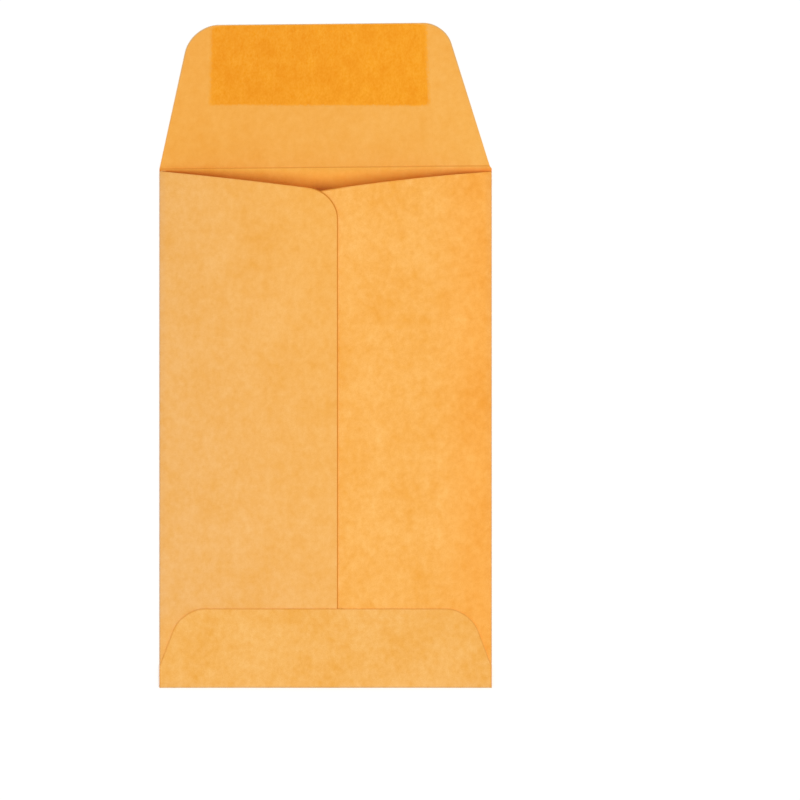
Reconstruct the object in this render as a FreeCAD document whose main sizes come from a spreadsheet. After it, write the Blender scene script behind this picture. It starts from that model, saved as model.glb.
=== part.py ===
import FreeCAD, Part
import math
import os
import Sketcher
from FreeCAD import Vector

# An open coin envelope of brown kraft paper, lying on its front panel with the back side up.
# X runs across the envelope, Y from the bottom fold towards the closure flap, Z up from the table.
# Heights along Y count from the bottom fold, and places along X from the middle of the body.

doc = FreeCAD.newDocument("envelope")
sheet = doc.addObject("Spreadsheet::Sheet", "Sizes")

sizes = {
    # the paper and the body
    "body_width": 57.0,
    "body_height": 89.3,
    "paper_thickness": 0.15,
    "side_fold_radius": 0.1,  # inside the fold
    "bottom_fold_runout": 0.13,  # the flat part of the sheet starts this far above the bottom fold's bend
    "bond_depth": 0.01,  # how far two glued layers press into each other
    # the bow of the back over the pocket
    "mouth_bow": 4.9,
    "foot_bow": 0.15,
    # the side flaps, the left one over the right one
    "seam_offset": 2.14,  # the seam stands this far right of the middle
    "seam_lap": 9.3,
    "side_flap_corner": 6.0,
    "left_throat_ledge": 0.12,  # from the crease down to the throat edge, at the left side fold
    "left_throat_slope": 6.3,
    "right_throat_ledge": 0.05,  # from the shoulder down to the throat edge, at the right side fold
    "right_throat_slope": 3.0,
    "right_throat_radius": 280.0,
    # the bottom flap, glued over both side flaps
    "bottom_flap_height": 13.5,
    "bottom_flap_side": 3.83,  # where its slanted ends leave the sides of the body
    "bottom_flap_slant": 21.0,
    "bottom_flap_corner": 5.8,
    # the closure flap beyond its crease
    "crease_skew": 0.57,
    "crease_width": 0.2,
    "crease_depth": 0.05,
    "right_shoulder_drop": 0.5,
    "right_shoulder_setback": 0.25,
    "closure_depth": 24.6,
    "closure_left_slant": 12.9,
    "closure_right_slant": 16.8,
    "closure_left_corner": 6.0,
    "closure_right_corner": 4.9,
    # the dried gum, set in from the flap's tip and from where its sides would meet the tip
    "gum_left_inset": 3.4,
    "gum_right_inset": 3.1,
    "gum_tip_inset": 0.25,
    "gum_height": 13.75,
    "gum_thickness": 0.03,
}

for row, (name, value) in enumerate(sizes.items(), start=1):
    sheet.set(f"A{row}", name)
    sheet.set(f"B{row}", str(value))
    sheet.setAlias(f"B{row}", name)
doc.recompute()

# what several pieces share, as expressions over the sheet
halfWidth = "(Sizes.body_width / 2)"
thickness = "Sizes.paper_thickness"
foldOuter = f"(Sizes.side_fold_radius + {thickness})"
foldCentre = f"({halfWidth} - {foldOuter})"
lapRise = f"({thickness} - Sizes.bond_depth)"
leftBow = f"(Sizes.foot_bow + {lapRise})"
# a trimming outline reaches one paper thickness past what it trims
past = f"({halfWidth} + {thickness})"
trimHeight = f"(2 * {foldOuter} + Sizes.mouth_bow + 4 * {thickness})"
skewTangent = "tan(Sizes.crease_skew * 1 deg)"
shoulder = f"({halfWidth} - Sizes.right_shoulder_setback)"
leftThroat = f"(Sizes.body_height - {halfWidth} * {skewTangent} - Sizes.left_throat_ledge)"
rightShoulder = "(Sizes.body_height - Sizes.right_shoulder_drop)"
rightThroat = f"({rightShoulder} - Sizes.right_throat_ledge)"
rightFlapEdge = "(Sizes.seam_offset - Sizes.seam_lap)"
# the bow carried on past the side folds, where it comes out a little below nothing
sideShare = f"(1 - ({halfWidth} / {foldCentre}) ^ 2)"


def bottomFoldRadius(share):
    """The outer radius of the bottom fold. share is how much of the bow there is where it is taken."""
    return f"((2 * {foldOuter} - Sizes.bond_depth + {share} * {leftBow} + {thickness}) / 2)"


flatStart = f"({bottomFoldRadius(1)} + Sizes.bottom_fold_runout)"


def number(text):
    result = sheet.evalExpression(text)
    return float(getattr(result, "Value", result))


def newBody(name):
    body = doc.addObject("PartDesign::Body", name)
    body.Label = name
    return body


def newSketch(body, name, role, offset=None):
    """A sketch on one of the body's origin planes, moved along the plane's normal by an expression."""
    plane = next(f for f in body.Origin.OriginFeatures if f.Role == role)
    sketch = body.newObject("Sketcher::SketchObject", name)
    sketch.AttachmentSupport = [(plane, "")]
    sketch.MapMode = "FlatFace"
    if offset:
        sketch.setExpression("AttachmentOffset.Base.z", offset)
    return sketch


def hold(sketch, constraints):
    for constraint in constraints:
        sketch.addConstraint(Sketcher.Constraint(*constraint))


def bind(sketch, kind, *where, text):
    """A dimension of the sketch that follows an expression."""
    place = sketch.addConstraint(Sketcher.Constraint(kind, *where, number(text)))
    sketch.setExpression(f"Constraints[{place}]", text)


def pin(sketch, edge, end, x, y):
    """Holds one end of an edge at a point given by two expressions."""
    bind(sketch, "DistanceX", -1, 1, edge, end, text=x)
    bind(sketch, "DistanceY", -1, 1, edge, end, text=y)


def line(sketch, start, end):
    return sketch.addGeometry(Part.LineSegment(Vector(*start[:2], 0), Vector(*end[:2], 0)))


def arc(sketch, centre, radius, start, end):
    """An arc that runs counterclockwise from one angle to another, in degrees."""
    circle = Part.Circle(Vector(*centre[:2], 0), Vector(0, 0, 1), radius)
    return sketch.addGeometry(Part.ArcOfCircle(circle, math.radians(start), math.radians(end)))


def pad(body, sketch, length):
    feature = body.newObject("PartDesign::Pad", f"{body.Name}_pad")
    feature.Profile = sketch
    feature.setExpression("Length", length)
    return feature


def angleFrom(centre, point):
    return math.degrees(math.atan2(point.y - centre.y, point.x - centre.x))


def drawOutline(sketch, corners):
    """A closed outline, counterclockwise, through corners of (x, y) or of (x, y, radius), all expressions.

    A corner with a radius is rounded, and its two expressions place the point where its sides would meet.
    """
    points = [Vector(number(c[0]), number(c[1]), 0) for c in corners]
    arrive, leave, rounds = list(points), list(points), {}
    for place, corner in enumerate(corners):
        if len(corner) == 3:
            point, radius = points[place], number(corner[2])
            back = (points[place - 1] - point).normalize()
            ahead = (points[(place + 1) % len(points)] - point).normalize()
            half = back.getAngle(ahead) / 2
            arrive[place] = point + back * (radius / math.tan(half))
            leave[place] = point + ahead * (radius / math.tan(half))
            rounds[place] = point + (back + ahead).normalize() * (radius / math.sin(half))
    for place in range(len(corners)):
        line(sketch, leave[place], arrive[(place + 1) % len(corners)])
    for place, corner in enumerate(corners):
        before = (place - 1) % len(corners)
        if place in rounds:
            centre = rounds[place]
            turn = (angleFrom(centre, arrive[place]), angleFrom(centre, leave[place]))
            bend = arc(sketch, centre, number(corner[2]), *turn)
            meet = sketch.addGeometry(Part.Point(points[place]), True)
            hold(
                sketch,
                [
                    ("Tangent", before, 2, bend, 1),
                    ("Tangent", bend, 2, place, 1),
                    ("PointOnObject", meet, 1, before),
                    ("PointOnObject", meet, 1, place),
                ],
            )
            bind(sketch, "Radius", bend, text=corner[2])
            pin(sketch, meet, 1, *corner[:2])
        else:
            hold(sketch, [("Coincident", before, 2, place, 1)])
            pin(sketch, place, 1, *corner)


def outlineBody(name, corners, height, offset=None):
    """A flat body of the given height over an outline in plan."""
    body = newBody(name)
    sketch = newSketch(body, f"{name}_plan", "XY_Plane", offset)
    drawOutline(sketch, corners)
    pad(body, sketch, height)
    return body


# The side flaps: each turns up at its side of the body and bows over the pocket


def flapSection(body, name, side, bow, tipX, offset=None):
    """The section of a side flap across the envelope: the turn of the side fold, then the bowed panel.

    side is -1 for the left flap and 1 for the right one. The panel is an arc about a point under the
    middle of the envelope, tangent to the fold, and it stops at tipX.
    """
    sketch = newSketch(body, name, "XZ_Plane", offset)
    panelRadius = f"(({foldCentre} ^ 2 + {bow} ^ 2) / (2 * {bow}) + {foldOuter})"
    outer, inner, thick = number(foldOuter), number("Sizes.side_fold_radius"), number(thickness)
    rise, reach, tip = number(bow), number(panelRadius), number(tipX)
    fold = (side * number(foldCentre), outer)
    under = (0, 2 * outer + rise - reach)
    lean = math.degrees(2 * math.atan(rise / number(foldCentre)))
    tipAngles = [math.degrees(math.acos(tip / radius)) for radius in (reach, reach - thick)]
    tips = [
        (tip, under[1] + radius * math.sin(math.radians(angle)))
        for radius, angle in zip((reach, reach - thick), tipAngles)
    ]
    # arcs run counterclockwise, so on the left the fold starts at the panel, and on the right it ends there
    if side < 0:
        turn, spans = (90 + lean, 270), [(angle, 90 + lean) for angle in tipAngles]
        ends = (1, 2)
    else:
        turn, spans = (-90, 90 - lean), [(90 - lean, angle) for angle in tipAngles]
        ends = (2, 1)
    foldTop, foldFoot = ends
    panelTip, panelJoint = ends
    foldOut = arc(sketch, fold, outer, *turn)
    panelOut = arc(sketch, under, reach, *spans[0])
    end = line(sketch, *tips)
    panelIn = arc(sketch, under, reach - thick, *spans[1])
    foldIn = arc(sketch, fold, inner, *turn)
    foot = line(sketch, (fold[0], 0), (fold[0], thick))
    hold(
        sketch,
        [
            ("Tangent", foldOut, foldTop, panelOut, panelJoint),
            ("Tangent", foldIn, foldTop, panelIn, panelJoint),
            ("Coincident", panelOut, panelTip, end, 1),
            ("Coincident", panelIn, panelTip, end, 2),
            ("Coincident", foldOut, foldFoot, foot, 1),
            ("Coincident", foldIn, foldFoot, foot, 2),
            ("Coincident", foldOut, 3, foldIn, 3),
            ("Coincident", panelOut, 3, panelIn, 3),
            ("PointOnObject", panelOut, 3, -2),
            ("Vertical", foldOut, foldFoot, foldOut, 3),
            ("Vertical", foot),
            ("Vertical", end),
        ],
    )
    pin(sketch, foldOut, 3, f"{side} * {foldCentre}", foldOuter)
    bind(sketch, "Radius", foldOut, text=foldOuter)
    bind(sketch, "Radius", foldIn, text="Sizes.side_fold_radius")
    bind(sketch, "Radius", panelOut, text=panelRadius)
    bind(sketch, "DistanceX", -1, 1, end, 1, text=tipX)
    return sketch


def bowedLayer(name, side, rise, tipX):
    """The whole bowed layer of a side flap, from the bottom fold to the crease, before it is trimmed."""
    body = newBody(name)
    foot = flapSection(body, f"{name}_foot", side, f"(Sizes.foot_bow + {rise})", tipX)
    mouth = flapSection(
        body, f"{name}_mouth", side, f"(Sizes.mouth_bow + {rise})", tipX, "-Sizes.body_height"
    )
    loft = body.newObject("PartDesign::AdditiveLoft", f"{name}_loft")
    loft.Profile = foot
    loft.Sections = [mouth]
    loft.Ruled = True
    return body


def leftOutline():
    """The plan of the left flap: a slanted throat edge, a round corner and the straight seam edge."""
    slope = "tan(Sizes.left_throat_slope * 1 deg)"
    seam = "Sizes.seam_offset"
    corners = [
        (f"-{past}", flatStart),
        (seam, flatStart),
        (seam, f"{leftThroat} - ({halfWidth} + {seam}) * {slope}", "Sizes.side_flap_corner"),
        (f"-{past}", f"{leftThroat} + {thickness} * {slope}"),
    ]
    return outlineBody("left_outline", corners, trimHeight)


def rightOutline():
    """The plan of the right flap: a gently curved throat edge and, under the left flap, a round corner."""
    body = newBody("right_outline")
    sketch = newSketch(body, "right_outline_plan", "XY_Plane")
    slope, bend = "Sizes.right_throat_slope * 1 deg", "Sizes.right_throat_radius"
    middleText = (f"{past} + {bend} * sin({slope})", f"{rightThroat} - {bend} * cos({slope})")
    edge, foot, right, top = (number(text) for text in (rightFlapEdge, flatStart, past, rightThroat))
    radius, reach = number("Sizes.side_flap_corner"), number(bend)
    middle = Vector(*(number(text) for text in middleText), 0)
    across = edge + radius - middle.x
    centre = Vector(edge + radius, middle.y + math.sqrt((reach - radius) ** 2 - across**2), 0)
    touch = angleFrom(middle, centre)
    corners = [(edge, centre.y), (edge, foot), (right, foot), (right, top)]
    for start, end in zip(corners, corners[1:]):
        line(sketch, start, end)
    arc(sketch, middle, reach, angleFrom(middle, Vector(right, top, 0)), touch)
    arc(sketch, centre, radius, touch, 180)
    hold(
        sketch,
        [
            ("Coincident", 0, 2, 1, 1),
            ("Coincident", 1, 2, 2, 1),
            ("Coincident", 2, 2, 3, 1),
            ("Tangent", 3, 2, 4, 1),
            ("Tangent", 4, 2, 0, 1),
            ("Vertical", 0),
            ("Horizontal", 1),
            ("Vertical", 2),
        ],
    )
    pin(sketch, 1, 1, rightFlapEdge, flatStart)
    pin(sketch, 2, 2, past, rightThroat)
    pin(sketch, 3, 3, *middleText)
    bind(sketch, "Radius", 4, text="Sizes.side_flap_corner")
    pad(body, sketch, trimHeight)
    return body


# The bottom flap: it turns up at the bottom fold and lies on the side flaps, bowed as they are


def bottomSection(body, name, share, offset=None):
    """The section of the bottom flap along the envelope: the bottom fold, then the rising panel.

    share is how much of the bow there is where the section stands.
    """
    sketch = newSketch(body, name, "YZ_Plane", offset)
    radiusText = bottomFoldRadius(share)
    reachText = f"(Sizes.bottom_flap_height + {thickness})"
    riseText = f"{share} * (Sizes.mouth_bow - Sizes.foot_bow) * {reachText} / Sizes.body_height"
    thick, start, radius, reach, rise = (
        number(text) for text in (thickness, flatStart, radiusText, reachText, riseText)
    )
    top = 2 * radius
    line(sketch, (start, 0), (start, thick))
    line(sketch, (start, thick), (radius, thick))
    arc(sketch, (radius, radius), radius - thick, 90, 270)
    line(sketch, (radius, top - thick), (reach, top + rise - thick))
    line(sketch, (reach, top + rise - thick), (reach, top + rise))
    line(sketch, (reach, top + rise), (radius, top))
    arc(sketch, (radius, radius), radius, 90, 270)
    line(sketch, (radius, 0), (start, 0))
    hold(
        sketch,
        [
            ("Coincident", 0, 2, 1, 1),
            ("Coincident", 1, 2, 2, 2),
            ("Coincident", 2, 1, 3, 1),
            ("Coincident", 3, 2, 4, 1),
            ("Coincident", 4, 2, 5, 1),
            ("Coincident", 5, 2, 6, 1),
            ("Coincident", 6, 2, 7, 1),
            ("Coincident", 7, 2, 0, 1),
            ("Coincident", 2, 3, 6, 3),
            ("Vertical", 2, 1, 2, 3),
            ("Vertical", 2, 2, 2, 3),
            ("Vertical", 6, 1, 6, 3),
            ("Vertical", 6, 2, 6, 3),
            ("Vertical", 0),
            ("Horizontal", 1),
            ("Vertical", 4),
        ],
    )
    pin(sketch, 0, 1, flatStart, "0")
    bind(sketch, "Distance", 0, text=thickness)
    pin(sketch, 6, 3, radiusText, radiusText)
    bind(sketch, "Radius", 6, text=radiusText)
    pin(sketch, 4, 2, reachText, f"2 * {radiusText} + {riseText}")
    bind(sketch, "Distance", 4, text=thickness)
    return sketch


def bottomLayer():
    """The bottom fold and the panel above it, bowed across the envelope, before it is trimmed."""
    body = newBody("bottom_layer")
    left = bottomSection(body, "bottom_left", sideShare, f"-{halfWidth}")
    middle = bottomSection(body, "bottom_middle", 1)
    right = bottomSection(body, "bottom_right", sideShare, halfWidth)
    loft = body.newObject("PartDesign::AdditiveLoft", "bottom_loft")
    loft.Profile = left
    loft.Sections = [middle, right]
    return body


def bottomOutline():
    """The plan of the bottom flap: a low panel with slanted ends and round corners."""
    slant = "tan(Sizes.bottom_flap_slant * 1 deg)"
    height, corner = "Sizes.bottom_flap_height", "Sizes.bottom_flap_corner"
    leave = f"Sizes.bottom_flap_side - {thickness} / {slant}"
    topX = f"({halfWidth} - ({height} - Sizes.bottom_flap_side) * {slant})"
    corners = [
        (f"-{past}", f"-{thickness}"),
        (past, f"-{thickness}"),
        (past, leave),
        (topX, height, corner),
        (f"-{topX}", height, corner),
        (f"-{past}", leave),
    ]
    return outlineBody("bottom_outline", corners, trimHeight)


# The front panel, and the closure flap beyond the crease


def frontPanel():
    """The flat panel that lies on the table. Its sides stop where the side folds start to turn up."""
    corners = [
        (f"-{foldCentre}", flatStart),
        (foldCentre, flatStart),
        (foldCentre, rightThroat),
        (halfWidth, rightThroat),
        (halfWidth, rightShoulder),
        (shoulder, f"Sizes.body_height + {shoulder} * {skewTangent}"),
        (f"-{halfWidth}", f"Sizes.body_height - {halfWidth} * {skewTangent}"),
        (f"-{halfWidth}", leftThroat),
        (f"-{foldCentre}", leftThroat),
    ]
    return outlineBody("front_panel", corners, thickness)


creasePlace = (
    "placement(vector(0; Sizes.body_height; 0); rotation(vector(0; 0; 1); Sizes.crease_skew * 1 deg))"
)
along = "cos(Sizes.crease_skew * 1 deg)"
closureLeft = f"({halfWidth} / {along})"
closureRight = f"({shoulder} / {along})"
tipLeft = f"({closureLeft} - Sizes.closure_depth * tan(Sizes.closure_left_slant * 1 deg))"
tipRight = f"({closureRight} - Sizes.closure_depth * tan(Sizes.closure_right_slant * 1 deg))"


def closureFlap():
    """The open closure flap, drawn along its own crease: a trapezoid with two round corners."""
    corners = [
        (f"-{closureLeft}", "0"),
        (closureRight, "0"),
        (tipRight, "Sizes.closure_depth", "Sizes.closure_right_corner"),
        (f"-{tipLeft}", "Sizes.closure_depth", "Sizes.closure_left_corner"),
    ]
    body = outlineBody("closure_flap", corners, thickness)
    body.setExpression("Placement", creasePlace)
    return body


def creaseGroove():
    """The valley that the fold has pressed into the inside of the sheet, a shallow V along the crease."""
    body = newBody("crease_groove")
    sketch = newSketch(body, "crease_groove_section", "YZ_Plane")
    half = "Sizes.crease_width / 2"
    corners = [("0", f"{thickness} - Sizes.crease_depth"), (half, thickness), (f"-{half}", thickness)]
    drawOutline(sketch, corners)
    pad(body, sketch, "2 * Sizes.body_width").Midplane = True
    body.setExpression("Placement", creasePlace)
    return body


def flapGum():
    """The film of dried gum on the inside of the closure flap, drawn along the crease as the flap is."""
    left, right = f"(-{tipLeft} + Sizes.gum_left_inset)", f"({tipRight} - Sizes.gum_right_inset)"
    top = "(Sizes.closure_depth - Sizes.gum_tip_inset)"
    low = f"({top} - Sizes.gum_height)"
    corners = [(left, low), (right, low), (right, top), (left, top)]
    return outlineBody("flap_gum", corners, "Sizes.gum_thickness", thickness)


def common(name, base, tool):
    feature = doc.addObject("Part::Common", name)
    feature.Base = base
    feature.Tool = tool
    return feature


closure = closureFlap()
gum = flapGum()
gluedSheet = doc.addObject("Part::MultiFuse", "glued_sheet")
gluedSheet.Shapes = [
    frontPanel(),
    common("right_flap", bowedLayer("right_layer", 1, "0", rightFlapEdge), rightOutline()),
    common("left_flap", bowedLayer("left_layer", -1, lapRise, "Sizes.seam_offset"), leftOutline()),
    common("bottom_flap", bottomLayer(), bottomOutline()),
    closure,
]
gluedSheet.Refine = True
foldedSheet = doc.addObject("Part::Cut", "folded_sheet")
foldedSheet.Label = "folded_sheet"
foldedSheet.Base = gluedSheet
foldedSheet.Tool = creaseGroove()
doc.recompute()

# the origin goes on the table under the middle of the sheet, and the gum goes where the closure flap is
box = foldedSheet.Shape.optimalBoundingBox(False, False)
middle = FreeCAD.Placement(Vector(-box.Center.x, -box.Center.y, -box.ZMin), FreeCAD.Rotation())
foldedSheet.Placement = middle
gum.Placement = middle.multiply(closure.Placement)
doc.recompute()

for item in doc.Objects:
    if "Invalid" in item.State or "Error" in item.State:
        raise RuntimeError(f"{item.Name} is {item.State}")
    if item.TypeId == "Sketcher::SketchObject" and not item.FullyConstrained:
        raise RuntimeError(f"{item.Name} isn't fully constrained")

nodes = [foldedSheet, gum]
for node in nodes:
    if node.Shape.isNull() or not node.Shape.isValid() or len(node.Shape.Solids) != 1:
        raise RuntimeError(f"{node.Label} isn't one valid solid")

os.makedirs("parts", exist_ok=True)
for node in nodes:
    node.Shape.exportStep(f"parts/{node.Label}.step")
    print(node.Label, round(node.Shape.Volume, 3), "mm3", node.Shape.optimalBoundingBox(False, False))
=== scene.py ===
import math

import bmesh
import bpy
from mathutils import Matrix, Vector


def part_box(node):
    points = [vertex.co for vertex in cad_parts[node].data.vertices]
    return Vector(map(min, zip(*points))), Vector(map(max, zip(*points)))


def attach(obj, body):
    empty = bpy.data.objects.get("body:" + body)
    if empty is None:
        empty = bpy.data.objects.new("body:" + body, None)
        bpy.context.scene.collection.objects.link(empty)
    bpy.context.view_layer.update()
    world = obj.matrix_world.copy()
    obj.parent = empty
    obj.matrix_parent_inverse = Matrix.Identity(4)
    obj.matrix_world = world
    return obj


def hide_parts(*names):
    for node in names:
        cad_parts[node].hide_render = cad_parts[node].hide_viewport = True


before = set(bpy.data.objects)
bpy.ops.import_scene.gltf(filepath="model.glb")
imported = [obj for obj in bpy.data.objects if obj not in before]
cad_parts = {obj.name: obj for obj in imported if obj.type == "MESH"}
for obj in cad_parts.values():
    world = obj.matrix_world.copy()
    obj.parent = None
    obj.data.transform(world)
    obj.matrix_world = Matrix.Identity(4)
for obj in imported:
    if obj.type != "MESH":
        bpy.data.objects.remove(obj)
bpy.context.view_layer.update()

for name in ("Cube", "Light", "Camera"):
    if name in bpy.data.objects:
        bpy.data.objects.remove(bpy.data.objects[name])
mm = 0.001
blankSpan = 160 * mm  # the blank's UV map is this long each way
blankCorner = Vector((-80 * mm, -20 * mm))
print("frame loaded")

# An open kraft envelope lies on its front panel, back side up, with the closure flap spread out.
# The blank is cut flat, given the paper's thickness and then folded by formula.
# On the blank X runs across from the middle and Y up from the bottom fold; folding moves it to the frame.
sheetLow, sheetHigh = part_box("folded_sheet")
gumLow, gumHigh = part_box("flap_gum")
halfWidth = sheetHigh.x
footY = sheetLow.y

envelope = {
    "thickness": 0.15 * mm,
    "foldOuter": 0.25 * mm,  # outer radius of the side folds
    "creaseHeight": 89.3 * mm,  # from the bottom fold, in the middle
    "creaseTurn": math.radians(0.57),
    "creaseWidth": 0.3 * mm,
    "creaseDepth": 0.05 * mm,
    "footBow": 0.15 * mm,  # how far the back stands off the front, at the bottom
    "mouthBow": 4.9 * mm,  # and at the crease
    "lapRise": 0.14 * mm,  # the left flap lies on the right one
    "bondDepth": 0.01 * mm,
    "flatStart": 0.6 * mm,  # where the front panel goes over into the bottom fold
    "bottomRun": 1.3 * mm,  # length of paper in the bottom fold
    "cell": 1.0 * mm,  # lattice that lets the paper bend
    "foldSteps": 8,
    "foldSlack": 1.001,  # points right at the end of a fold still belong to it
    "cornerSteps": 14,
    "creaseRows": (-0.5, -0.25, 0.25, 0.5),  # in shares of the crease's width
    "throatRow": 0.45 * mm,  # the lattice is finer where the light falls off into the pocket
    "throatRows": (-4, 14),  # the range of these rows, counted down from the crease
    "cutTolerance": 2e-6,
    "mergeDistance": 1e-6,
    "lineRim": 0.13 * mm,  # the dark line of a cut edge, partly the edge's own darker paper and partly painted shade beside the lap, and how it fades
    "lineFade": 0.11 * mm,
    "lineShare": {"left": 1.0, "right": 1.0, "bottom": 0.38, "closure": 0.0},  # how dark it is
    "throatLine": 0.15,  # share of that line along the throat
    "throatReach": (85.3 * mm, 85.9 * mm),  # where the throat starts, up the blank
    "sharpAngle": math.radians(40),
}
leftFlap = {
    "side": -1,
    "end": 2.14 * mm,  # the seam, right of the middle
    "throatLedge": 0.39 * mm,  # below the crease, at the side
    "throatStart": math.radians(5.6),
    "throatRadius": 820 * mm,
    "throatSteps": 5,
    "corner": 5.3 * mm,
}
rightFlap = {
    "side": 1,
    "end": -7.16 * mm,  # hidden under the left flap
    "throatLedge": 1.0 * mm,
    "throatStart": math.radians(4.3),
    "throatRadius": 385 * mm,
    "throatSteps": 6,
    "corner": 5.5 * mm,
    "mouthGap": 0.2 * mm,  # it isn't glued to the left flap at the mouth
    "gapWidth": 9 * mm,
    "gluedBelow": 70 * mm,
}
bottomFlap = {
    "height": 13.58 * mm,
    "sideHeight": 3.83 * mm,
    "slant": math.radians(21),
    "corner": 5.8 * mm,
    "settleWidth": 1.5 * mm,  # it sinks onto the right flap beside the seam
    "settleReach": 0.3,  # in shares of its height
}
closureFlap = {
    "depth": 24.6 * mm,
    "leftSlant": math.radians(12.9),
    "rightSlant": math.radians(16.8),
    "leftCorner": 6.0 * mm,
    "rightCorner": 4.9 * mm,
    "shoulderDrop": 0.5 * mm,
    "shoulderSetback": 0.35 * mm,
}

thickness = envelope["thickness"]
foldOuter = envelope["foldOuter"]
foldCentre = halfWidth - foldOuter
foldRun = math.pi * (foldOuter - thickness / 2)
creaseSlope = math.tan(envelope["creaseTurn"])
flatStart = envelope["flatStart"]
bottomRun = envelope["bottomRun"]
bowGrowth = envelope["mouthBow"] - envelope["footBow"]
panelNames = ["front", "left", "right", "bottom", "closure"]


def linear(colour):
    # from the 0 to 255 of a screen to linear light
    return [(c / 255 / 12.92 if c < 10.3 else ((c / 255 + 0.055) / 1.055) ** 2.4) for c in colour]


def smooth(value, low, high):
    share = min(max((value - low) / (high - low), 0.0), 1.0)
    return share * share * (3 - 2 * share)


def creaseUp(across):
    return envelope["creaseHeight"] + across * creaseSlope


def throatUp(flap, x):
    # a throat edge is a long arc that starts at the side of the body
    side = flap["side"]
    top = creaseUp(side * halfWidth) - flap["throatLedge"]
    gone = halfWidth - side * x
    turn = math.asin(math.sin(flap["throatStart"]) + gone / flap["throatRadius"])
    return top - flap["throatRadius"] * (math.cos(flap["throatStart"]) - math.cos(turn))


def bowShare(x):
    return 1 - (x / foldCentre) ** 2


def bottomRadius(x):
    bow = bowShare(x) * (envelope["footBow"] + envelope["lapRise"])
    return (2 * foldOuter - envelope["bondDepth"] + bow + thickness) / 2


def foldSide(flap, across, up, depth):
    # depth counts from the outer face of the paper
    side = flap["side"]
    bow = envelope["footBow"] + bowGrowth * up / envelope["creaseHeight"]
    if flap is leftFlap:
        bow += envelope["lapRise"]
    lean = 2 * math.atan(bow / foldCentre)
    along = side * across - foldCentre
    if along <= foldRun * envelope["foldSlack"]:
        turn = (math.pi - lean) * along / foldRun
        reach = foldOuter - depth
        return side * (foldCentre + reach * math.sin(turn)), up, foldOuter - reach * math.cos(turn)
    x = foldCentre - (along - foldRun)
    radius = (foldCentre**2 + bow**2) / (2 * bow) + foldOuter
    z = 2 * foldOuter + bow - radius + math.sqrt((radius - depth) ** 2 - x**2)
    if flap is rightFlap:
        seam = leftFlap["end"]
        nearSeam = 1 - smooth(x, seam, seam + flap["gapWidth"])
        z -= flap["mouthGap"] * nearSeam * smooth(up, flap["gluedBelow"], envelope["creaseHeight"])
    return side * x, up, z


def foldBottom(across, up, depth):
    radius = bottomRadius(across)
    along = flatStart - up
    flatRun = flatStart - radius
    walked = (flatRun + math.pi * radius) * along / bottomRun
    if walked <= flatRun:
        return across, flatStart - walked, depth
    if along <= bottomRun * envelope["foldSlack"]:
        turn = (walked - flatRun) / radius
        reach = radius - depth
        return across, radius - reach * math.sin(turn), radius - reach * math.cos(turn)
    height, seam = bottomFlap["height"], leftFlap["end"]
    gone = (along - bottomRun) / (height - bottomRadius(0))
    rise = bowShare(across) * bowGrowth * height / envelope["creaseHeight"]
    settle = envelope["lapRise"] * bowShare(across) * smooth(gone, 0, bottomFlap["settleReach"])
    settle *= smooth(across, seam, seam + bottomFlap["settleWidth"])
    return across, radius + (height - radius) * gone, 2 * radius + rise * gone - depth - settle


def foldFlat(across, up, depth):
    away = abs(up - creaseUp(across))
    press = envelope["creaseDepth"] * (1 - smooth(away, 0, envelope["creaseWidth"] / 2))
    return across, up, depth - press * depth / thickness


def foldPoint(panel, point):
    if panel == "left":
        x, y, z = foldSide(leftFlap, *point)
    elif panel == "right":
        x, y, z = foldSide(rightFlap, *point)
    elif panel == "bottom":
        x, y, z = foldBottom(*point)
    else:
        x, y, z = foldFlat(*point)
    return Vector((x, y + footY, z))


def sideRing(bm, flap, neck, foot):
    # the flap from its fold: throat edge, tip corner, far edge
    side, steps = flap["side"], flap["throatSteps"]
    start = side * foldCentre
    ring = [neck]
    for step in range(steps + 1):
        x = start + (flap["end"] - start) * step / steps
        ring.append(bm.verts.new((side * (2 * foldCentre + foldRun) - x, throatUp(flap, x), 0)))
    ring.append(bm.verts.new((ring[-1].co.x, flatStart, 0)))
    return ring + [foot]


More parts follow.
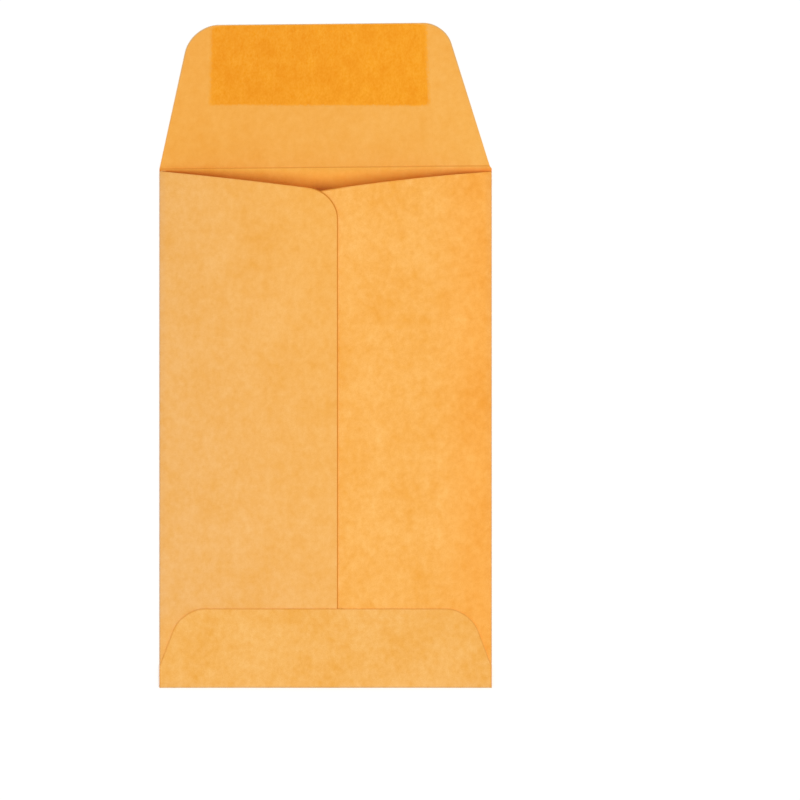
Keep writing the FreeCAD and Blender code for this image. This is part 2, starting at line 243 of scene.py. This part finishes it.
def cutBlank():
    # five panels that share their fold edges, with the corners still to be rounded
    bm = bmesh.new()
    panel = bm.faces.layers.int.new("panel")
    for layer in ("cut", "dull"):
        bm.verts.layers.float.new(layer)
    point = lambda x, y: bm.verts.new((x, y, 0))
    shoulder = halfWidth - closureFlap["shoulderSetback"]
    foot = [point(side * foldCentre, flatStart) for side in (-1, 1)]
    neck = []
    for flap in (leftFlap, rightFlap):
        foldX = flap["side"] * foldCentre
        neck.append(point(foldX, throatUp(flap, foldX)))
    crease = [point(x, creaseUp(x)) for x in (-halfWidth, shoulder)]
    front = [foot[0], foot[1], neck[1], point(halfWidth, throatUp(rightFlap, halfWidth))]
    front += [point(halfWidth, creaseUp(halfWidth) - closureFlap["shoulderDrop"]), crease[1], crease[0]]
    front += [point(-halfWidth, throatUp(leftFlap, -halfWidth)), neck[0]]
    left = sideRing(bm, leftFlap, neck[0], foot[0])
    right = sideRing(bm, rightFlap, neck[1], foot[1])
    lowUp = flatStart - bottomRun + bottomRadius(0)
    topUp, sideUp = lowUp - bottomFlap["height"], lowUp - bottomFlap["sideHeight"]
    topX = halfWidth - (sideUp - topUp) * math.tan(bottomFlap["slant"])
    bottom = [point(-halfWidth, flatStart), foot[0], foot[1], point(halfWidth, flatStart)]
    bottom += [point(halfWidth, sideUp), point(topX, topUp), point(-topX, topUp), point(-halfWidth, sideUp)]
    turn = Matrix.Rotation(envelope["creaseTurn"], 2)
    depth = closureFlap["depth"]
    closure = [crease[0], crease[1]]
    for base, slant in ((crease[1], -closureFlap["rightSlant"]), (crease[0], closureFlap["leftSlant"])):
        tip = base.co.xy + turn @ Vector((depth * math.tan(slant), depth))
        closure.append(point(*tip))
    for number, ring in enumerate((front, left, right, bottom, closure)):
        bm.faces.new(ring)[panel] = number
    corners = [
        (left[-3], leftFlap["corner"]),
        (right[-3], rightFlap["corner"]),
        (bottom[5], bottomFlap["corner"]),
        (bottom[6], bottomFlap["corner"]),
        (closure[2], closureFlap["rightCorner"]),
        (closure[3], closureFlap["leftCorner"]),
    ]
    return bm, corners


def roundCorners(bm, corners):
    for vert, radius in corners:
        one, two = (edge.other_vert(vert).co - vert.co for edge in vert.link_edges)
        bmesh.ops.bevel(
            bm,
            geom=[vert],
            offset=radius / math.tan(one.angle(two) / 2),
            offset_type="OFFSET",
            segments=envelope["cornerSteps"],
            profile=0.5,
            affect="VERTICES",
            material=-1,
        )


def panelFace(bm, name):
    panel = bm.faces.layers.int["panel"]
    return max((f for f in bm.faces if f[panel] == panelNames.index(name)), key=lambda f: f.calc_area())


def addRims(bm):
    # narrow strips beside the cut edges: a dark line at the seam, partly the cut paper's colour and partly
    # painted shade beside the lap, a faint one at the throat, a dull outline
    cut, dull = (bm.verts.layers.float[layer] for layer in ("cut", "dull"))
    for name, line in envelope["lineShare"].items():
        for vert in panelFace(bm, name).verts:
            free = len(vert.link_faces) == 1
            atThroat = smooth(vert.co.y, *envelope["throatReach"])
            vert[cut] = free * line * (1 + (envelope["throatLine"] - 1) * atThroat)
            vert[dull] = free * (name == "closure")
    for width, kept in (("lineRim", 1.0), ("lineFade", 0.0)):
        for name in envelope["lineShare"]:
            face = panelFace(bm, name)
            bmesh.ops.inset_individual(bm, faces=[face], thickness=envelope[width], use_even_offset=True)
            for vert in face.verts:
                vert[cut] *= kept
                vert[dull] *= kept


def cutLattice(bm):
    def cut(place, direction):
        geom = bm.verts[:] + bm.edges[:] + bm.faces[:]
        bmesh.ops.bisect_plane(
            bm, geom=geom, dist=envelope["cutTolerance"], plane_co=place, plane_no=direction
        )

    cell, foldSteps = envelope["cell"], envelope["foldSteps"]
    lowX, highX = min(v.co.x for v in bm.verts), max(v.co.x for v in bm.verts)
    lowY, highY = min(v.co.y for v in bm.verts), max(v.co.y for v in bm.verts)
    flat = round(2 * foldCentre / cell)
    xs = [-foldCentre + 2 * foldCentre * n / flat for n in range(flat + 1)]
    for side in (-1, 1):
        xs += [side * (foldCentre + foldRun * n / foldSteps) for n in range(1, foldSteps + 1)]
    flapStart = foldCentre + foldRun
    xs += [flapStart + cell * n for n in range(1, math.ceil((highX - flapStart) / cell))]
    xs += [-flapStart - cell * n for n in range(1, math.ceil((-lowX - flapStart) / cell))]
    ys = [flatStart + cell * n for n in range(1, math.ceil((highY - flatStart) / cell))]
    ys += [envelope["creaseHeight"] - envelope["throatRow"] * n for n in range(*envelope["throatRows"])]
    ys += [flatStart - bottomRun * n / foldSteps for n in range(foldSteps + 1)]
    flapStart = flatStart - bottomRun
    ys += [flapStart - cell * n for n in range(1, math.ceil((flapStart - lowY) / cell))]
    for x in xs:
        cut((x, 0, 0), (1, 0, 0))
    for y in ys:
        cut((0, y, 0), (0, 1, 0))
    lean = Vector((-math.sin(envelope["creaseTurn"]), math.cos(envelope["creaseTurn"]), 0))
    for offset in envelope["creaseRows"]:
        cut(Vector((0, envelope["creaseHeight"], 0)) + lean * offset * envelope["creaseWidth"], lean)


def raisedVerts(bm):
    # a second layer over the flat faces, still to be lifted
    raised = bmesh.ops.extrude_face_region(bm, geom=bm.faces[:], use_keep_orig=True)
    return [v for v in raised["geom"] if isinstance(v, bmesh.types.BMVert)]


def mapBlank(bm):
    # the paper's pattern lies on the flat blank, so it follows the folds
    blank = bm.loops.layers.uv.new("blank")
    for face in bm.faces:
        for loop in face.loops:
            loop[blank].uv = (loop.vert.co.xy - blankCorner) / blankSpan


def foldSheet():
    bm, corners = cutBlank()
    roundCorners(bm, corners)
    addRims(bm)
    cutLattice(bm)
    bmesh.ops.remove_doubles(bm, verts=bm.verts, dist=envelope["mergeDistance"])
    print("blank cut:", len(bm.faces), "cells")
    panel = bm.faces.layers.int["panel"]
    crease = bm.verts.layers.float.new("crease")
    owner = bm.verts.layers.int.new("owner")
    for face in bm.faces:
        for vert in face.verts:
            vert[owner] = max(vert[owner], face[panel])
    # the crease layer carries painted shade along the pressed crease
    for vert in bm.verts:
        away = abs(vert.co.y - creaseUp(vert.co.x))
        if panelNames[vert[owner]] in ("front", "closure"):
            vert[crease] = 1 - smooth(away, 0, envelope["creaseWidth"] / 2)
    for vert in raisedVerts(bm):
        vert.co.z += thickness
    bmesh.ops.recalc_face_normals(bm, faces=bm.faces)
    mapBlank(bm)
    tones = []
    for vert in bm.verts:
        name = panelNames[vert[owner]]
        inside = vert.co.z > thickness / 2
        vert.co = foldPoint(name, vert.co)
        tones += toneAt(name, vert.co, inside)
    return addPiece("kraftSheet", bm, tones)


paper = {
    # screen colours of the panels, from their left or fold to their right or cut edge
    "closure": ((243, 170, 71), (247, 178, 81)),
    "left": ((242, 182, 106), (246, 177, 82)),
    "leftShares": (0.55, 0.45),  # how far it goes on across, and with the height
    "leftFoot": 0.6,  # the left flap's fold side is less pale at the foot
    "leftFootReach": (8 * mm, 15 * mm),
    "right": ((250, 170, 69), (249, 178, 83)),
    "rightReach": 0.45,  # of the half width
    "bottom": ((244, 179, 89), (245, 179, 89)),
    "front": ((246, 178, 70), (248, 180, 82)),
    # marks: size, stretch up the blank, detail, seed and strength
    "fineMarks": ((0.2 * mm, 1.0, 1, 2.2, 0.6), (0.62 * mm, 1.2, 2, 3.7, 0.48)),
    "fineTint": (0.19, 0.46, 1.0),
    "broadMarks": (
        (1.3 * mm, 1.2, 1, 5.9, 0.85),
        (2.6 * mm, 1.3, 2, 4.1, 0.7),
        (10 * mm, 1.4, 2, 1.3, 0.95),
    ),
    "broadTint": (0.1, 0.3, 1.0),
    "markRoughness": 0.6,
    # how strong the marks are on each panel
    "grain": {"closure": 0.55, "left": 0.75, "right": 1.0, "bottom": 1.0, "front": 0.6},
    "fibreSize": 0.2 * mm,
    "fibreStretch": 9.0,
    "fibreTurns": ((0.35, 3.0), (-0.5, 5.0), (1.3, 7.0)),  # each with its seed
    "fibreLimits": (0.62, 0.76),
    "fibreTone": 0.02,
    "fibreHeight": 0.3,
    "grainHeight": 1.5,
    "bumpStrength": 0.12,
    "bumpDistance": 0.03 * mm,
    "dullColour": (216, 170, 104),
    # the cut edges' own darker paper with painted shade beside the lap; also the fibres' colour
    "cutColour": (214, 130, 32),
    # painted shade in the pressed crease
    "creaseColour": (208, 126, 36),
    "lineStrength": {"dull": 0.8, "cut": 1.0, "crease": 0.6},
    # paler paper at the folds, partly rubbed and partly painted highlight and shade of the rounded fold,
    # how far it goes and how strong it is
    "foldColour": {"left": (228, 180, 132), "right": (228, 168, 98), "bottom": (222, 176, 116)},
    "foldRubAndShading": {"left": 0.3 * mm, "right": 0.3 * mm, "bottom": 0.5 * mm},
    "rubAndShadingShare": 0.6,
    "creaseShade": (0.96, 0.87, 0.75),  # the flap is a little darker above the left part of the crease
    "creaseShadeWidth": 1.0 * mm,
    "creaseShadeReach": (-0.9, -0.1),  # it lets go between these, in half widths from the middle
    "roughness": 0.72,
    "specular": 0.22,
}
pocketShade = {
    # painted shade: the inner face of the front panel is painted redder and darker where the light falls
    # off into the pocket
    "tint": (1.05, 0.65, 0.36),
    "middleLight": (1.13, 1.24, 1.15),  # painted light: lighter where the mouth stands open widest
    "middlePlace": 6 * mm,
    "middleReach": (4 * mm, 18 * mm),
    # painted shade, darker towards the ends of the mouth, most at the left
    "sideShade": (0.78, 0.58, 0.36),
    "leftReach": (12 * mm, 28 * mm),
    "rightReach": (18 * mm, 27 * mm),
    "rightShare": 0.35,
    "sideStart": 0.2,  # at the sides it starts sooner
    "notchShadow": (0.68, 0.56, 0.6),  # painted shadow in the notch beside the left flap's tip
    "notchPlace": -0.6 * mm,
    "notchReach": 3.2 * mm,
    "fade": 0.7,  # it lets go again deeper inside
    "fadeReach": (1.3, 3),
}
gumFilm = {
    "leftInset": 3.16 * mm,
    "rightInset": 2.82 * mm,
    "tipInset": 0.06 * mm,
    "height": 14.06 * mm,
    "leftFlare": 0.46 * mm,  # its sides run apart towards the crease
    "rightFlare": 0.36 * mm,
    "leftRise": 0.22 * mm,  # and its low border isn't quite in line with the crease
    "rightDrop": 0.29 * mm,
    "cell": 0.6 * mm,
    "sideFade": 0.8 * mm,  # the film thins out over this at its sides
    "lowFade": 0.45 * mm,
    "tipFade": 0.16 * mm,
    "swell": (-0.2, 2),  # it gets its full height over this, in fades from its border
    "ragged": 0.5,
    "left": (243, 155, 30),
    "right": (247, 159, 28),
    "toneReach": (0.38, 0.62),  # from the left to the right colour, across the blank's UV map
    "fineMarks": ((0.24 * mm, 1.7, 1, 6.2, 2.6), (0.5 * mm, 2.4, 2, 8.8, 2.0)),
    "fineTint": (0.05, 0.15, 1.0),
    "broadMarks": ((1.4 * mm, 1.8, 1, 3.3, 0.9), (2.6 * mm, 1.8, 2, 4.1, 1.4)),
    "broadTint": (0.07, 0.21, 1.0),
    "roughness": 0.6,
    "specular": 0.1,
}


def blend(low, high, share):
    return [a + (b - a) * share for a, b in zip(low, high)]


def multiplied(tone, tint, share):
    return [a * b for a, b in zip(tone, blend((1, 1, 1), tint, share))]


# the pocket's painted shade and light on the inner face of the front panel
def pocketTone(tone, place):
    # depth is 0 at the crease and 1 at the throat edge
    flap = leftFlap if place.x < leftFlap["end"] else rightFlap
    crease = creaseUp(place.x)
    depth = (crease - place.y + footY) / (crease - throatUp(flap, place.x))
    if depth < 0:
        return tone
    gone = pocketShade["fade"] * smooth(depth, *pocketShade["fadeReach"])
    share = min(depth, 1) - gone
    side = smooth(-place.x, *pocketShade["leftReach"])
    side += pocketShade["rightShare"] * smooth(place.x, *pocketShade["rightReach"])
    middle = 1 - smooth(abs(place.x - pocketShade["middlePlace"]), *pocketShade["middleReach"])
    notch = 1 - smooth(abs(place.x - pocketShade["notchPlace"]), 0, pocketShade["notchReach"])
    tone = multiplied(tone, pocketShade["tint"], share)
    tone = multiplied(tone, pocketShade["middleLight"], share * middle)
    tone = multiplied(tone, pocketShade["sideShade"], min(depth + pocketShade["sideStart"], 1 - gone) * side)
    return multiplied(tone, pocketShade["notchShadow"], max(share, 0) ** 3 * notch)


def toneAt(name, place, inside=False):
    low, high = (linear(colour) for colour in paper[name])
    fromFold = 1 - abs(place.x) / halfWidth
    if name == "left":
        up = place.y - footY
        across, along = paper["leftShares"]
        share = across * fromFold + along * up / envelope["creaseHeight"]
        share += paper["leftFoot"] * (1 - smooth(up, *paper["leftFootReach"]))
    elif name == "right":
        share = smooth(fromFold, 0, paper["rightReach"])
    else:
        share = (place.x + halfWidth) / (2 * halfWidth)
    tone = blend(low, high, min(max(share, 0), 1))
    # painted highlight and shade of the rounded folds, with some rubbed paper
    if name in paper["foldRubAndShading"]:
        gone = place.y - footY if name == "bottom" else halfWidth - abs(place.x)
        rubAndShading = paper["rubAndShadingShare"] * (1 - smooth(gone, 0, paper["foldRubAndShading"][name]))
        tone = blend(tone, linear(paper["foldColour"][name]), rubAndShading)
    if name == "closure":
        near = 1 - smooth(place.y - footY - creaseUp(place.x), 0, paper["creaseShadeWidth"])
        near *= 1 - smooth(place.x / halfWidth, *paper["creaseShadeReach"])
        tone = multiplied(tone, paper["creaseShade"], near)
    if name == "front" and inside:
        tone = pocketTone(tone, place)
    return tone + [paper["grain"][name]]


def addObject(name, data):
    made = bpy.data.objects.new(name, data)
    bpy.context.scene.collection.objects.link(made)
    return made


def addPiece(name, bm, tones):
    for edge in bm.edges:
        edge.smooth = edge.calc_face_angle(0) < envelope["sharpAngle"]
    mesh = bpy.data.meshes.new(name)
    bm.to_mesh(mesh)
    bm.free()
    tone = mesh.color_attributes.new("tone", "FLOAT_COLOR", "POINT")
    tone.data.foreach_set("color", tones)
    for face in mesh.polygons:
        face.use_smooth = True
    return addObject(name, mesh)


def closureTips():
    # where the closure flap's sides would meet its top edge, along the crease, with the rounded corners
    cosine, shoulder = math.cos(envelope["creaseTurn"]), halfWidth - closureFlap["shoulderSetback"]
    tips = []
    for name, side, base in (("left", -1, halfWidth), ("right", 1, shoulder)):
        slant, radius = closureFlap[name + "Slant"], closureFlap[name + "Corner"]
        end = side * (base / cosine - closureFlap["depth"] * math.tan(slant))
        tips.append((end, radius / math.tan(math.pi / 4 + slant / 2), radius))
    return tips


def makeGum():
    # a thin dried film, drawn along the crease as the closure flap is
    corners = closureTips()
    left, right = corners[0][0] + gumFilm["leftInset"], corners[1][0] - gumFilm["rightInset"]
    top = closureFlap["depth"] - gumFilm["tipInset"]
    low = top - gumFilm["height"]
    bm = bmesh.new()
    wide, tall = right - left, top - low
    cells = (round(wide / gumFilm["cell"]), round(tall / gumFilm["cell"]))
    bmesh.ops.create_grid(bm, x_segments=cells[0], y_segments=cells[1], size=0.5)
    bmesh.ops.scale(bm, vec=(wide, tall, 1), verts=bm.verts)
    bmesh.ops.translate(bm, vec=((left + right) / 2, (top + low) / 2, gumLow.z), verts=bm.verts)
    film = bm.verts.layers.float.new("film")
    for vert in bm.verts:
        x, y = vert.co.xy
        sides = min(x - left, right - x) / gumFilm["sideFade"]
        vert[film] = min(sides, (y - low) / gumFilm["lowFade"], (top - y) / gumFilm["tipFade"])
        for end, run, radius in corners:
            gone = max(run - abs(x - end), 0)
            vert.co.y -= (radius - math.sqrt(radius**2 - gone**2)) * (y - low) / tall
        across, down = (x - left) / wide, (top - y) / tall
        vert.co.x += down * (across * gumFilm["rightFlare"] - (1 - across) * gumFilm["leftFlare"])
        vert.co.y += down * ((1 - across) * gumFilm["leftRise"] - across * gumFilm["rightDrop"])
    for vert in raisedVerts(bm):
        vert.co.z += (gumHigh.z - gumLow.z) * smooth(vert[film], *gumFilm["swell"])
    crease = Matrix.Rotation(envelope["creaseTurn"], 4, "Z")
    crease = Matrix.Translation((0, envelope["creaseHeight"], 0)) @ crease
    bmesh.ops.transform(bm, matrix=crease, verts=bm.verts)
    bmesh.ops.recalc_face_normals(bm, faces=bm.faces)
    mapBlank(bm)
    bmesh.ops.translate(bm, vec=(0, footY, 0), verts=bm.verts)
    tones = []
    for vert in bm.verts:
        tones += toneAt("closure", vert.co)
    return addPiece("flapGum", bm, tones)


def addNode(tree, kind, **settings):
    made = tree.nodes.new("ShaderNode" + kind)
    for name, value in settings.items():
        setattr(made, name, value)
    return made


def feed(tree, socket, value):
    if isinstance(value, bpy.types.NodeSocket):
        tree.links.new(value, socket)
    else:
        socket.default_value = value


def mathNode(tree, operation, *values):
    made = addNode(tree, "Math", operation=operation)
    for socket, value in zip(made.inputs, values):
        feed(tree, socket, value)
    return made.outputs[0]


def spread(tree, value, low, high):
    # 0 at low and below, 1 at high and above
    made = addNode(tree, "MapRange", interpolation_type="SMOOTHSTEP")
    for socket, given in zip(made.inputs, (value, low, high)):
        feed(tree, socket, given)
    return made.outputs[0]


def mixColour(tree, mode, share, a, b):
    made = addNode(tree, "Mix", data_type="RGBA", blend_type=mode)
    feed(tree, made.inputs[0], share)
    feed(tree, made.inputs[6], a)
    feed(tree, made.inputs[7], b)
    return made.outputs[2]


def noise(tree, size, stretch, detail, seed, turn=0.0):
    # marks of this size on the blank, stretched up it
    place = addNode(tree, "UVMap", uv_map="blank")
    mapping = addNode(tree, "Mapping")
    feed(tree, mapping.inputs["Vector"], place.outputs[0])
    feed(tree, mapping.inputs["Location"], (seed, seed * 0.7, seed))
    feed(tree, mapping.inputs["Rotation"], (0, 0, turn))
    feed(tree, mapping.inputs["Scale"], (1, 1 / stretch, 1))
    made = addNode(tree, "TexNoise", noise_dimensions="3D")
    feed(tree, made.inputs["Vector"], mapping.outputs[0])
    feed(tree, made.inputs["Scale"], blankSpan / size)
    feed(tree, made.inputs["Detail"], detail)
    feed(tree, made.inputs["Roughness"], paper["markRoughness"])
    return made.outputs["Fac"]


def attribute(tree, name, output="Fac"):
    return addNode(tree, "Attribute", attribute_name=name).outputs[output]


def tinted(tree, colour, marks, tint, amount=1.0):
    # marks make the colour lighter and darker, each channel by its own share
    total = 0.0
    for size, stretch, detail, seed, strength in marks:
        centred = mathNode(tree, "SUBTRACT", noise(tree, size, stretch, detail, seed), 0.5)
        total = mathNode(tree, "MULTIPLY_ADD", centred, strength, total)
    total = mathNode(tree, "MULTIPLY", total, amount)
    factor = addNode(tree, "CombineColor")
    for socket, share in zip(factor.inputs, tint):
        feed(tree, socket, mathNode(tree, "MULTIPLY_ADD", total, share, 1.0))
    return mixColour(tree, "MULTIPLY", 1.0, colour, factor.outputs[0]), total


def startMaterial(name, settings):
    material = bpy.data.materials.new(name)
    material.use_nodes = True
    tree = material.node_tree
    shader = tree.nodes["Principled BSDF"]
    shader.inputs["Roughness"].default_value = settings["roughness"]
    shader.inputs["Specular IOR Level"].default_value = settings["specular"]
    return material, tree, shader


def paperLook(tree):
    # kraft: cloudy tone, fine grain and short fibres
    amount = attribute(tree, "tone", "Alpha")
    colour = attribute(tree, "tone", "Color")
    colour, cloud = tinted(tree, colour, paper["broadMarks"], paper["broadTint"], amount)
    colour, grain = tinted(tree, colour, paper["fineMarks"], paper["fineTint"], amount)
    fibres = 0.0
    for turn, seed in paper["fibreTurns"]:
        fibre = noise(tree, paper["fibreSize"], paper["fibreStretch"], 1, seed, turn)
        fibres = mathNode(tree, "ADD", fibres, spread(tree, fibre, *paper["fibreLimits"]))
    dark = mathNode(tree, "MULTIPLY", fibres, paper["fibreTone"])
    colour = mixColour(tree, "MIX", dark, colour, (*linear(paper["cutColour"]), 1))
    height = mathNode(tree, "MULTIPLY_ADD", grain, paper["grainHeight"], cloud)
    return colour, mathNode(tree, "MULTIPLY_ADD", fibres, paper["fibreHeight"], height)


def addBump(tree, shader, height):
    bump = addNode(tree, "Bump")
    bump.inputs["Strength"].default_value = paper["bumpStrength"]
    bump.inputs["Distance"].default_value = paper["bumpDistance"]
    feed(tree, bump.inputs["Height"], height)
    tree.links.new(bump.outputs[0], shader.inputs["Normal"])


def kraftMaterial():
    material, tree, shader = startMaterial("kraft", paper)
    colour, height = paperLook(tree)
    # dark lines over the paper: a dull outline, the cut edges with painted shade beside the lap, and
    # painted shade in the crease
    for layer, share in paper["lineStrength"].items():
        amount = mathNode(tree, "MULTIPLY", attribute(tree, layer), share)
        colour = mixColour(tree, "MIX", amount, colour, (*linear(paper[layer + "Colour"]), 1))
    tree.links.new(colour, shader.inputs["Base Color"])
    addBump(tree, shader, height)
    return material


def gumMaterial():
    # the same paper shows through at the film's thin edge
    material, tree, shader = startMaterial("gum", gumFilm)
    colour, height = paperLook(tree)
    place = addNode(tree, "UVMap", uv_map="blank")
    split = addNode(tree, "SeparateXYZ")
    tree.links.new(place.outputs[0], split.inputs[0])
    across = spread(tree, split.outputs[0], *gumFilm["toneReach"])
    gum = mixColour(tree, "MIX", across, (*linear(gumFilm["left"]), 1), (*linear(gumFilm["right"]), 1))
    gum = tinted(tree, gum, gumFilm["broadMarks"], gumFilm["broadTint"])[0]
    gum, grain = tinted(tree, gum, gumFilm["fineMarks"], gumFilm["fineTint"])
    ragged = mathNode(tree, "MULTIPLY_ADD", grain, gumFilm["ragged"], attribute(tree, "film"))
    share = spread(tree, ragged, 0.0, 1.0)
    colour = mixColour(tree, "MIX", share, colour, gum)
    tree.links.new(colour, shader.inputs["Base Color"])
    addBump(tree, shader, height)
    return material


sheet = foldSheet()
sheet.data.materials.append(kraftMaterial())
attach(sheet, "root")
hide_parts("folded_sheet")
gum = makeGum()
gum.data.materials.append(gumMaterial())
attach(gum, "root")
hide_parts("flap_gum")
print("sheet and gum made")

studio = {
    "sunLevel": 0.6,  # share of the light that comes from the lamp
    "sunTilt": math.radians(10),  # towards the bottom fold
    "sunSide": math.radians(6),  # towards the right
    "sunWidth": math.radians(36),
    "floorSize": 4.0,
    "floorGap": 0.02 * mm,
    "floorTone": 0.8,  # as the object's surroundings, not to the camera
    "floorGlow": 0.04,  # to the camera, so that the floor is quite white
}
view = {
    "centre": (12.766 * mm, -7.65 * mm),
    "width": 137.27 * mm,  # of what the picture spans
    "distance": 3.0,
}


def whiteToCamera(tree, plain):
    # seen by the camera, and in gloss and glass, it is white; its light on the object is plain
    path = addNode(tree, "LightPath")
    share = path.outputs["Is Camera Ray"]
    for name in ("Is Glossy Ray", "Is Transmission Ray"):
        share = mathNode(tree, "MAXIMUM", share, path.outputs[name])
    return mixColour(tree, "MIX", share, (plain, plain, plain, 1), (1, 1, 1, 1))


def makeStudio():
    world = bpy.data.worlds.new("world")
    bpy.context.scene.world = world
    world.use_nodes = True
    tree = world.node_tree
    background = tree.nodes["Background"]
    tree.links.new(whiteToCamera(tree, 1 - studio["sunLevel"]), background.inputs["Color"])
    lamp = bpy.data.lights.new("key", "SUN")
    lamp.angle = studio["sunWidth"]
    tilt, side = studio["sunTilt"], studio["sunSide"]
    lamp.energy = studio["sunLevel"] * math.pi / math.cos(tilt) / math.cos(side)
    addObject("key", lamp).rotation_euler = (tilt, side, 0)
    bm = bmesh.new()
    bmesh.ops.create_grid(bm, x_segments=1, y_segments=1, size=studio["floorSize"] / 2)
    bmesh.ops.translate(bm, vec=(0, 0, -studio["floorGap"]), verts=bm.verts)
    mesh = bpy.data.meshes.new("floor")
    bm.to_mesh(mesh)
    bm.free()
    floor = addObject("floor", mesh)
    material = bpy.data.materials.new("floor")
    material.use_nodes = True
    tree = material.node_tree
    shader = tree.nodes["Principled BSDF"]
    shader.inputs["Roughness"].default_value = 1.0
    shader.inputs["Specular IOR Level"].default_value = 0.0
    tree.links.new(whiteToCamera(tree, studio["floorTone"]), shader.inputs["Base Color"])
    shader.inputs["Emission Color"].default_value = (1, 1, 1, 1)
    seen = addNode(tree, "LightPath").outputs["Is Camera Ray"]
    glow = mathNode(tree, "MULTIPLY", seen, studio["floorGlow"])
    tree.links.new(glow, shader.inputs["Emission Strength"])
    mesh.materials.append(material)


def makeCamera():
    camera = addObject("camera", bpy.data.cameras.new("camera"))
    bpy.context.scene.camera = camera
    camera.location = (*view["centre"], view["distance"])
    camera.data.lens = camera.data.sensor_width * view["distance"] / view["width"]


makeStudio()
makeCamera()
bpy.context.scene.view_settings.view_transform = "Standard"
print("studio made")
